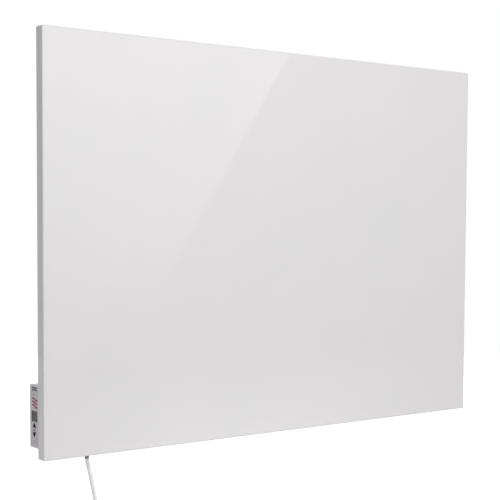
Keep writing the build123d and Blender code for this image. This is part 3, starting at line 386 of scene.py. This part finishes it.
def coreColours(tree, place, look):  # three cores told apart by place: brown, blue, green with yellow
    low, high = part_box("supply_wires")
    exitX = nodeCentre("strain_relief").x
    axes = addNode(tree, "ShaderNodeSeparateXYZ", {"Vector": place})
    rise = addNode(tree, "ShaderNodeMapRange", {"Value": axes.outputs["Z"], "From Min": low.z,
                                                "From Max": high.z,
                                                "To Max": look["lean"] * (high.z - low.z)}, "Result")
    across = addNode(tree, "ShaderNodeMath", {0: axes.outputs["X"], 1: rise}, "Value", operation="ADD")
    isNeutral = addNode(tree, "ShaderNodeMath", {0: across, 1: exitX + look["betweenPair"]}, "Value",
                        operation="GREATER_THAN")
    isEarth = addNode(tree, "ShaderNodeMath", {0: axes.outputs["X"], 1: exitX + look["beforeEarth"]},
                      "Value", operation="GREATER_THAN")
    bands = addNode(tree, "ShaderNodeTexWave", {"Vector": place, "Scale": 1 / look["band"]}, "Fac")
    isBand = addNode(tree, "ShaderNodeMapRange", {"Value": bands, "From Min": look["bandLow"],
                                                  "From Max": look["bandHigh"]}, "Result")
    earth = addNode(tree, "ShaderNodeMix", {0: isBand, 6: look["earth"], 7: look["earthBand"]}, 2,
                    data_type="RGBA")
    pair = addNode(tree, "ShaderNodeMix", {0: isNeutral, 6: look["live"], 7: look["neutral"]}, 2,
                   data_type="RGBA")
    tone = addNode(tree, "ShaderNodeMix", {0: isEarth, 6: pair, 7: earth}, 2, data_type="RGBA")
    return {"Base Color": tone, "Roughness": look["roughness"]}


finishes["coreInsulation"] = makeFinish("coreInsulation", coreColours, coreLook)

fuseLook = dict(glass="#DDE3E4", cap="#C9C6BE", roughness=0.08, capStart=5.2 * mm, clear=0.9)


def fuseGlass(tree, place, look):  # clear tube between plated caps, which start 5.2 mm from the middle
    across = addNode(tree, "ShaderNodeSeparateXYZ", {"Vector": place}, "X")
    offset = addNode(tree, "ShaderNodeMath", {0: across, 1: nodeCentre("fuse").x}, "Value",
                     operation="SUBTRACT")
    away = addNode(tree, "ShaderNodeMath", {0: offset}, "Value", operation="ABSOLUTE")
    isCap = addNode(tree, "ShaderNodeMath", {0: away, 1: look["capStart"]}, "Value",
                    operation="GREATER_THAN")
    tone = addNode(tree, "ShaderNodeMix", {0: isCap, 6: look["glass"], 7: look["cap"]}, 2,
                   data_type="RGBA")
    clear = addNode(tree, "ShaderNodeMapRange", {"Value": isCap, "To Min": look["clear"], "To Max": 0.0},
                    "Result")
    return {"Base Color": tone, "Roughness": look["roughness"], "Metallic": isCap,
            "Transmission Weight": clear}


finishes["glassFuse"] = makeFinish("glassFuse", fuseGlass, fuseLook)

canLook = dict(sleeve="#23262E", end="#B8BBBF", roughness=0.34, endDepth=0.5 * mm)


def canSleeve(tree, place, look):  # shrink sleeve with the bare aluminium end left open
    depth = addNode(tree, "ShaderNodeSeparateXYZ", {"Vector": place}, "Y")
    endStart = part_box("smoothing_capacitor")[1].y - look["endDepth"]
    isEnd = addNode(tree, "ShaderNodeMath", {0: depth, 1: endStart}, "Value", operation="GREATER_THAN")
    tone = addNode(tree, "ShaderNodeMix", {0: isEnd, 6: look["sleeve"], 7: look["end"]}, 2,
                   data_type="RGBA")
    return {"Base Color": tone, "Roughness": look["roughness"], "Metallic": isEnd}


finishes["sleevedCan"] = makeFinish("sleevedCan", canSleeve, canLook)

lensLook = dict(tint="#837F89", roughness=0.06, roughest=2, haze=0.6 * mm, hazeLow=0.3, hazeHigh=0.7,
                ior=1.27)


def lensHaze(tree, place, look):  # cast acrylic, dyed grey; a hard coat takes its IOR of 1.49 down
    haze = addNode(tree, "ShaderNodeTexNoise", {"Vector": place, "Scale": 1 / look["haze"]}, "Fac")
    rough = addNode(tree, "ShaderNodeMapRange", {"Value": haze, "From Min": look["hazeLow"],
                                                 "From Max": look["hazeHigh"],
                                                 "To Min": look["roughness"],
                                                 "To Max": look["roughness"] * look["roughest"]}, "Result")
    return {"Base Color": look["tint"], "Roughness": rough, "IOR": look["ior"],
            "Transmission Weight": 1.0}


finishes["smokedAcrylic"] = makeFinish("smokedAcrylic", lensHaze, lensLook)
print("all finishes", len(finishes))

dressing = {
    "stoveEnamelWhite": ["front_panel"],
    "powderCoatedSteel": ["rear_cover"],
    "zincPlatedSteel": ["cover_screws", "box_screws", "base_rivets", "bracket_rivets", "earth_screw",
                        "display_screws", "board_screws"],
    "zincCoatedSheet": ["wall_bracket_lower_left", "wall_bracket_lower_right", "wall_bracket_upper_left",
                        "wall_bracket_upper_right"],
    "pressedMica": ["mica_front", "mica_rear"],
    "resistanceAlloy": ["heating_track"],
    "dulledBrass": ["element_terminals", "earth_tag"],
    "phenolicBlack": ["thermal_cutout", "display_module", "key_switches", "temperature_sensor"],
    "siliconeSheath": ["element_leads"],
    "creasedAluminiumFoil": ["reflector_foil"],
    "spunMineralWool": ["insulation_mat"],
    "epdmRubber": ["lead_grommet"],
    "mouldedAbsWhite": ["control_cover", "control_base"],
    "polyesterLabelFilm": ["fascia_label"],
    "smokedAcrylic": ["display_window"],
    "greenSolderMask": ["display_board", "power_board"],
    "pbtBlue": ["relay"],
    "filmCaseOchre": ["mains_capacitor"],
    "sleevedCan": ["smoothing_capacitor"],
    "glassFuse": ["fuse"],
    "polyamideGreen": ["terminal_block"],
    "greyRibbonPvc": ["ribbon_cable"],
    "coreInsulation": ["supply_wires"],
    "paintedShadeGreyPvc": ["strain_relief"],
    "softTouchBlack": ["button_up_cap", "button_down_cap", "button_up_plunger", "button_down_plunger",
                       "button_power_plunger"],
    "mouldedAbsGrey": ["button_power_cap"],
    "extrudedPvcWhite": ["power_cord", "cord_coil", "cord_tail"],
    "coveredTie": ["cord_tie"],
    "mouldedPvcWhite": ["plug_body"],
    "nickelPlate": ["plug_pins"],
    "tinnedSpring": ["plug_earth_clips"],
}
for finish, members in dressing.items():
    for member in members:
        for materialSlot in nodes[member].material_slots:
            materialSlot.material = finishes[finish]
print("dressed nodes", sum(len(members) for members in dressing.values()), "of", len(nodes))


# printed marks and display figures are closed strokes, flattened tubes on their face
def stroke(steps, power, width, centre):
    # u runs from -1 to 1, closer together at the ends, and the width follows (1 - |u|^power)^(1/power)
    u = -np.cos(np.pi * (np.arange(steps) + 0.5) / steps)
    return centre(np.concatenate([[-1.0], u, [1.0]])), (1 - np.abs(u) ** power) ** (1 / power), width


def levelLine(y, z, length):  # straight and level through (y, z): y + length / 2 * u
    return lambda u: np.column_stack([y + length / 2 * u, z + 0 * u])


def arcLine(y, z, radius, reach):  # round (y, z) from its foot, up to the angle reach to either side
    return lambda u: np.column_stack([y + radius * np.sin(reach * u), z - radius * np.cos(reach * u)])


def flatTube(line, share, width, look):
    # point(u, a) = line(u) + width / 2 * share(u) * cos a across it, and the look's face
    # + thickness / 2 * share(u) * sin a along X; both ends close in a fan
    inner = line[1:-1]
    along = np.gradient(line, axis=0)[1:-1]
    along /= np.linalg.norm(along, axis=1)[:, None]
    across = np.column_stack([-along[:, 1], along[:, 0]])
    angle = 2 * np.pi * np.arange(look["sides"]) / look["sides"]
    reach = (width / 2 * share)[:, None, None] * np.cos(angle)[None, :, None]
    flat = inner[:, None, :] + reach * across[:, None, :]
    deep = look["face"] + look["thickness"] / 2 * share[:, None] * np.sin(angle)[None, :]
    body = np.concatenate([deep[:, :, None], flat], axis=2).reshape(-1, 3)
    ends = np.column_stack([[look["face"], look["face"]], line[[0, -1]]])
    rows, sides = len(inner), look["sides"]
    i, j = np.meshgrid(np.arange(rows - 1), np.arange(sides), indexing="ij")
    k = (j + 1) % sides
    quads = np.stack([i * sides + j, i * sides + k, (i + 1) * sides + k, (i + 1) * sides + j], axis=2)
    side, beside = np.arange(sides), (np.arange(sides) + 1) % sides
    first, last = rows * sides, rows * sides + 1
    lastRow = (rows - 1) * sides
    caps = np.concatenate([np.column_stack([np.full(sides, first), beside, side]),
                           np.column_stack([np.full(sides, last), lastRow + side, lastRow + beside])])
    return np.concatenate([body, ends]), quads.reshape(-1, 4).tolist() + caps.tolist()


def layMarks(name, strokes, look, finish, body):  # closed strokes half sunk in their face
    points, faces, count = [], [], 0
    for line, share, width in strokes:
        vertices, polygons = flatTube(line, share, width, look)
        points.append(vertices)
        faces += [[corner + count for corner in polygon] for polygon in polygons]
        count += len(vertices)
    mesh = addMesh(name, np.concatenate(points).tolist(), faces, finishes[finish])
    mesh.polygons.foreach_set("use_smooth", np.ones(len(faces), bool))
    marks = addObject(name, mesh)
    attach(marks, body)


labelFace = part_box("fascia_label")[0].x  # the marks on the label lie on its outer face

# two bars at the head of the label
headerLook = dict(face=labelFace, thickness=0.07 * mm, sides=12, steps=24, power=12, middleY=-19.9 * mm,
                  length=14.8 * mm, width=2.1 * mm, levels=(-199.85 * mm, -203.05 * mm))
headerBars = [stroke(headerLook["steps"], headerLook["power"], headerLook["width"],
                     levelLine(headerLook["middleY"], level, headerLook["length"]))
              for level in headerLook["levels"]]
layMarks("label_header_bars", headerBars, headerLook, "printedInkGrey", "heater")

# a dot under the header, and a short dash between the two arrows
dotLook = dict(face=labelFace, thickness=0.07 * mm, sides=12, steps=16, dotPower=2, dotY=-18 * mm,
               dotZ=-208.9 * mm, dot=2.5 * mm, dashPower=8, dashY=-19 * mm, dashZ=-259.4 * mm,
               dash=7.4 * mm, dashWidth=1.9 * mm)
dotStroke = stroke(dotLook["steps"], dotLook["dotPower"], dotLook["dot"],
                   levelLine(dotLook["dotY"], dotLook["dotZ"], dotLook["dot"]))
dashStroke = stroke(dotLook["steps"], dotLook["dashPower"], dotLook["dashWidth"],
                    levelLine(dotLook["dashY"], dotLook["dashZ"], dotLook["dash"]))
layMarks("label_dot_and_dash", [dotStroke, dashStroke], dotLook, "printedInkGrey", "heater")

# three heat waves: one sine period each, leaning down towards the casing
waveLook = dict(face=labelFace, thickness=0.07 * mm, sides=12, steps=40, power=6, middleY=-20.3 * mm,
                length=15.4 * mm, rise=1.3 * mm, swing=1.2 * mm, width=2.7 * mm,
                levels=(-216.1 * mm, -221.0 * mm, -225.9 * mm))


def waveLine(look, level):  # level + rise / 2 * u + swing * sin(pi * u)
    return lambda u: np.column_stack([look["middleY"] + look["length"] / 2 * u,
                                      level + look["rise"] / 2 * u + look["swing"] * np.sin(np.pi * u)])


heatWaves = [stroke(waveLook["steps"], waveLook["power"], waveLook["width"], waveLine(waveLook, level))
             for level in waveLook["levels"]]
layMarks("label_heat_waves", heatWaves, waveLook, "printedInkRed", "heater")

# stand-by mark on the power cap: a ring, open at the top, with a bar in its gap
standbyLook = dict(face=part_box("button_power_cap")[0].x, thickness=0.05 * mm, sides=10, steps=48,
                   power=8, middleY=nodeCentre("button_power_cap").y,
                   middleZ=nodeCentre("button_power_cap").z, ring=1.7 * mm, open=0.72, bar=2.0 * mm,
                   barLift=1.4 * mm, width=0.95 * mm)


def uprightLine(look):  # middle of the bar + bar / 2 * u
    return lambda u: np.column_stack([look["middleY"] + 0 * u,
                                      look["middleZ"] + look["barLift"] + look["bar"] / 2 * u])


standbyRing = stroke(standbyLook["steps"], standbyLook["power"], standbyLook["width"],
                     arcLine(standbyLook["middleY"], standbyLook["middleZ"], standbyLook["ring"],
                             math.pi - standbyLook["open"]))
standbyBar = stroke(standbyLook["steps"], standbyLook["power"], standbyLook["width"],
                    uprightLine(standbyLook))
layMarks("standby_mark", [standbyRing, standbyBar], standbyLook, "printedInkGrey", "button_power")

# near-white ring on the label round the power cap: a painted highlight for the light caught on the cap's rim;
# its ends all but meet at the top
ringLook = dict(face=labelFace, thickness=0.07 * mm, sides=10, steps=96, power=40, ring=5.0 * mm,
                width=0.8 * mm, open=0.02)
ringStroke = stroke(ringLook["steps"], ringLook["power"], ringLook["width"],
                    arcLine(standbyLook["middleY"], standbyLook["middleZ"], ringLook["ring"],
                            math.pi - ringLook["open"]))
layMarks("painted_highlight_ring", [ringStroke], ringLook, "paleRingPaintedHighlight", "heater")

# two seven-segment figures in the display module, unlit behind the window
figureLook = dict(face=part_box("display_module")[0].x, thickness=0.12 * mm, sides=10, steps=18, power=5,
                  width=1.0 * mm, reach=(2.3 * mm, 4.4 * mm), gap=0.35 * mm, lean=0.1, apart=7.2 * mm,
                  point=0.9 * mm, pointPower=2)


def figureSegments(look):  # each figure leans to the reader's right, which is -Y on this face
    middle = nodeCentre("display_module")
    halfWide, halfHigh = look["reach"]
    short, tall = halfWide - look["gap"], halfHigh / 2 - look["gap"]
    # each segment's place across and up, in shares of the reach, and 1 where it lies level
    layout = [(0, 1, 1), (0, 0, 1), (0, -1, 1), (-1, 0.5, 0), (1, 0.5, 0), (-1, -0.5, 0), (1, -0.5, 0)]
    strokes = []
    for figure in (-0.5, 0.5):
        figureY = middle.y + figure * look["apart"]
        for across, up, isLevel in layout:
            def centre(u, across=across, up=up, isLevel=isLevel, figureY=figureY):
                y = across * halfWide + isLevel * short * u
                z = up * halfHigh + (1 - isLevel) * tall * u
                return np.column_stack([figureY - y - look["lean"] * z, middle.z + z])
            strokes.append(stroke(look["steps"], look["power"], look["width"], centre))
        pointLine = levelLine(figureY - halfWide - look["point"], middle.z - halfHigh, look["point"])
        strokes.append(stroke(look["steps"], look["pointPower"], look["point"], pointLine))
    return strokes


layMarks("display_figures", figureSegments(figureLook), figureLook, "segmentResin", "heater")
print("marks and figures laid")


# the mains lead, from the strain relief's tip to the plug
leadLook = dict(diameter=5.8 * mm, length=1.5, exit=(-336.2 * mm, -18 * mm, -309 * mm), gap=0.5 * mm,
                halfTurns=12, turnBack=5, smallest=26.2 * mm, perHalfTurn=8, straightEnd=5.8 * mm,
                tail=20.2 * mm, order=3, alongSteps=6, roundSteps=5)
leadRoute = [(0.0, 0.0), (0.7, 5.6), (5.0, 22.0), (9.5, 42.0), (14.2, 64.0), (18.6, 88.0),
             (21.4, 110.0), (21.4, 122.0)]  # right and down from the strain relief's tip, in mm


def coilPoints(look, startX, y, level):
    # half circles in turn below and above the level; radius falls half a pitch each to the turn
    # back and rises again; control points lie outside the circle by 1 / cos(half their spacing)
    pitch = look["diameter"] + look["gap"]
    share = (np.arange(look["perHalfTurn"]) + 0.5) / look["perHalfTurn"]
    outside = 1 / math.cos(math.pi / (2 * look["perHalfTurn"]))
    x, runs = startX, []
    for k in range(look["halfTurns"]):
        radius = look["smallest"] + pitch / 2 * abs(k - look["turnBack"])
        way = -1 if k % 2 == 0 else 1
        climb = -pitch if k == look["turnBack"] else 0.0
        angle = math.pi * share
        middle = x + way * radius
        runs.append(np.stack([middle - way * radius * outside * np.cos(angle),
                              y + climb * (1 - np.cos(angle)) / 2,
                              level + way * radius * outside * np.sin(angle)], axis=1))
        x, y = x + way * 2 * radius, y + climb
    return np.concatenate(runs), (x, y)


def buildLead(look, route):  # the route, then the coil's half turns, then a straight tail to the plug
    exitX, exitY, exitZ = look["exit"]
    start = [(exitX + right * mm, exitY, exitZ - down * mm) for right, down in route]
    level = start[-1][2] - look["straightEnd"]
    turns, (endX, endY) = coilPoints(look, start[-1][0], exitY, level)
    tailTop = level - look["straightEnd"]
    end = [(endX, endY, tailTop), (endX, endY, tailTop - look["tail"])]
    points = np.concatenate([np.array(start), turns, np.array(end)])
    curve = bpy.data.curves.new("supply_lead", "CURVE")
    curve.dimensions = "3D"
    spline = curve.splines.new("NURBS")
    spline.points.add(len(points) - 1)
    spline.points.foreach_set("co", np.column_stack([points, np.ones(len(points))]).ravel())
    spline.order_u = look["order"]
    spline.use_endpoint_u = True
    spline.resolution_u = look["alongSteps"]
    curve.bevel_depth = look["diameter"] / 2
    curve.bevel_resolution = look["roundSteps"]
    curve.use_fill_caps = True
    curve.materials.append(finishes["extrudedPvcWhite"])
    lead = addObject("supply_lead", curve)
    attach(lead, "heater")
    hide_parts("power_cord", "cord_coil", "cord_tail")


buildLead(leadLook, leadRoute)
print("mains lead laid")


# camera, air, lamps, cards and floor
cameraLook = dict(place=(-1.1795, -1.5305, 0.0323), yaw=36.95, down=3.29, roll=0.28, lens=86.1,
                  sensor=36.0, shift=0.0832, clipStart=0.05, clipEnd=60.0)


def buildCamera(look):
    data = bpy.data.cameras.new("studioCamera")
    data.sensor_width = look["sensor"]
    data.lens = look["lens"]
    data.shift_y = look["shift"]
    data.clip_start, data.clip_end = look["clipStart"], look["clipEnd"]
    camera = addObject("studioCamera", data)
    turn = (Matrix.Rotation(-math.radians(look["yaw"]), 4, "Z")
            @ Matrix.Rotation(math.radians(90 - look["down"]), 4, "X")
            @ Matrix.Rotation(math.radians(look["roll"]), 4, "Z"))
    camera.matrix_world = Matrix.Translation(look["place"]) @ turn
    scene.camera = camera


def seenDirectly(tree):  # 1 for what the eye, the gloss and glass see, 0 for what lights the surfaces
    ray = addNode(tree, "ShaderNodeLightPath").outputs
    either = addNode(tree, "ShaderNodeMath", {0: ray["Is Camera Ray"], 1: ray["Is Glossy Ray"]}, "Value",
                     operation="MAXIMUM")
    return addNode(tree, "ShaderNodeMath", {0: either, 1: ray["Is Transmission Ray"]}, "Value",
                   operation="MAXIMUM")


worldLook = dict(air="#FFFFFF", ambient=0.263, background=1.0)


def buildWorld(look):  # soft even air for the surfaces, plain white for the eye, gloss and glass
    world = bpy.data.worlds.new("studioAir")
    scene.world = world
    tree = clearTree(world)
    strength = addNode(tree, "ShaderNodeMapRange", {"Value": seenDirectly(tree), "To Min": look["ambient"],
                                                    "To Max": look["background"]}, "Result")
    sky = addNode(tree, "ShaderNodeBackground", {"Color": look["air"], "Strength": strength},
                  "Background")
    addNode(tree, "ShaderNodeOutputWorld", {"Surface": sky})


lampLooks = {
    "keySoftbox": dict(place=(-0.17, -2.25, 1.17), aim=(-0.07, 0, 0.05), size=(1.2, 1.6), power=39.35),
    "sideFill": dict(place=(-1.7, -0.1, -0.9), aim=(-0.42, -0.03, -0.2), size=(0.8, 0.8), power=2.2),
    "rearFill": dict(place=(0.5, 2.6, 1.2), aim=(0, 0, -0.1), size=(1.6, 1.2), power=30.0),
}


def buildLamp(name, look):
    data = bpy.data.lights.new(name, "AREA")
    data.shape = "RECTANGLE"
    data.size, data.size_y = look["size"]
    data.energy = look["power"]
    lamp = addObject(name, data)
    facing = (Vector(look["place"]) - Vector(look["aim"])).to_track_quat("Z", "Y")
    lamp.matrix_world = Matrix.Translation(look["place"]) @ facing.to_matrix().to_4x4()
    lamp.visible_camera = False
    lamp.visible_glossy = False


# white cards in front and to the right, seen only in the gloss, with a glow that exceeds the white air
cardLooks = {
    # its slanted edge draws the long highlight across the enamel; it fades to the left and downwards
    "tallCard": dict(distance=-2.0, edgeTop=(1.586, 0.656), edgeLow=(1.077, -0.113), left=-0.3, top=1.3,
                     bottom=-1.0, fadeFrom=-0.25, fadeOver=0.85, excess=1.25, curve=0.65, leftFade=0.8,
                     right=4.0, rightFade=0.5),
    # a low band that lightens the enamel towards its bottom edge; it fades to both sides and upwards
    "lowCard": dict(distance=-1.99, edgeTop=(3.2, 1.0), edgeLow=(3.2, -1.0), left=0.45, top=-0.4,
                    bottom=-1.0, fadeFrom=-0.45, fadeOver=-0.29, excess=1.65, curve=1.0, leftFade=0.6,
                    right=2.95, rightFade=1.5),
}


def buildCard(name, look):
    # glow = 1 + excess * (share of the height)^curve * share of the left fade * share of the right fade
    (topX, topZ), (lowX, lowZ) = look["edgeTop"], look["edgeLow"]
    slope = (topX - lowX) / (topZ - lowZ)
    corners = [(look["left"], look["distance"], look["bottom"]),
               (lowX + slope * (look["bottom"] - lowZ), look["distance"], look["bottom"]),
               (lowX + slope * (look["top"] - lowZ), look["distance"], look["top"]),
               (look["left"], look["distance"], look["top"])]
    material = bpy.data.materials.new(name)
    tree = clearTree(material)
    place = addNode(tree, "ShaderNodeTexCoord", out="Object")
    axes = addNode(tree, "ShaderNodeSeparateXYZ", {"Vector": place})
    up = addNode(tree, "ShaderNodeMapRange", {"Value": axes.outputs["Z"], "From Min": look["fadeFrom"],
                                              "From Max": look["fadeFrom"] + look["fadeOver"]}, "Result")
    curved = addNode(tree, "ShaderNodeMath", {0: up, 1: look["curve"]}, "Value", operation="POWER")
    left = addNode(tree, "ShaderNodeMapRange", {"Value": axes.outputs["X"], "From Min": look["left"],
                                                "From Max": look["left"] + look["leftFade"]}, "Result")
    right = addNode(tree, "ShaderNodeMapRange", {"Value": axes.outputs["X"], "From Min": look["right"],
                                                 "From Max": look["right"] - look["rightFade"]}, "Result")
    sides = addNode(tree, "ShaderNodeMath", {0: left, 1: right}, "Value", operation="MULTIPLY")
    share = addNode(tree, "ShaderNodeMath", {0: curved, 1: sides}, "Value", operation="MULTIPLY")
    strength = addNode(tree, "ShaderNodeMapRange", {"Value": share, "To Min": 1.0,
                                                    "To Max": 1.0 + look["excess"]}, "Result")
    glow = addNode(tree, "ShaderNodeEmission", {"Strength": strength}, "Emission")
    addNode(tree, "ShaderNodeOutputMaterial", {"Surface": glow})
    card = addObject(name, addMesh(name, corners, [(0, 1, 2, 3)], material))
    card.visible_camera = False
    card.visible_diffuse = False
    card.visible_shadow = False
    card.visible_transmission = False


floorLook = dict(level=-1.15, radius=9.0, corners=96, colour="#EDEDEE", lift=0.72, farLift=1.0,
                 liftFrom=1.5, liftOver=3.0)


def buildFloor(look):  # pale disc, white to the eye far out; its shadows are kept near the middle
    angle = 2 * np.pi * np.arange(look["corners"]) / look["corners"]
    ring = np.column_stack([np.cos(angle) * look["radius"], np.sin(angle) * look["radius"],
                            np.full(look["corners"], look["level"])])
    material = bpy.data.materials.new("paleFloor")
    tree = clearTree(material)
    place = addNode(tree, "ShaderNodeTexCoord", out="Object")
    reach = addNode(tree, "ShaderNodeVectorMath", {0: place}, "Value", operation="LENGTH")
    lift = addNode(tree, "ShaderNodeMapRange", {"Value": reach, "From Min": look["liftFrom"],
                                                "From Max": look["liftFrom"] + look["liftOver"],
                                                "To Min": look["lift"], "To Max": look["farLift"]}, "Result")
    seenLift = addNode(tree, "ShaderNodeMath", {0: lift, 1: seenDirectly(tree)}, "Value",
                       operation="MULTIPLY")
    glow = addNode(tree, "ShaderNodeEmission", {"Strength": seenLift}, "Emission")
    matt = addNode(tree, "ShaderNodeBsdfDiffuse", {"Color": look["colour"]}, "BSDF")
    both = addNode(tree, "ShaderNodeAddShader", {0: glow, 1: matt}, "Shader")
    addNode(tree, "ShaderNodeOutputMaterial", {"Surface": both})
    mesh = addMesh("studioFloor", ring.tolist(), [tuple(range(look["corners"]))], material)
    floor = addObject("studioFloor", mesh)


buildCamera(cameraLook)
buildWorld(worldLook)
for lampName, lampLook in lampLooks.items():
    buildLamp(lampName, lampLook)
for cardName, cardLook in cardLooks.items():
    buildCard(cardName, cardLook)
buildFloor(floorLook)
scene.view_settings.view_transform = "Standard"
print("studio set")
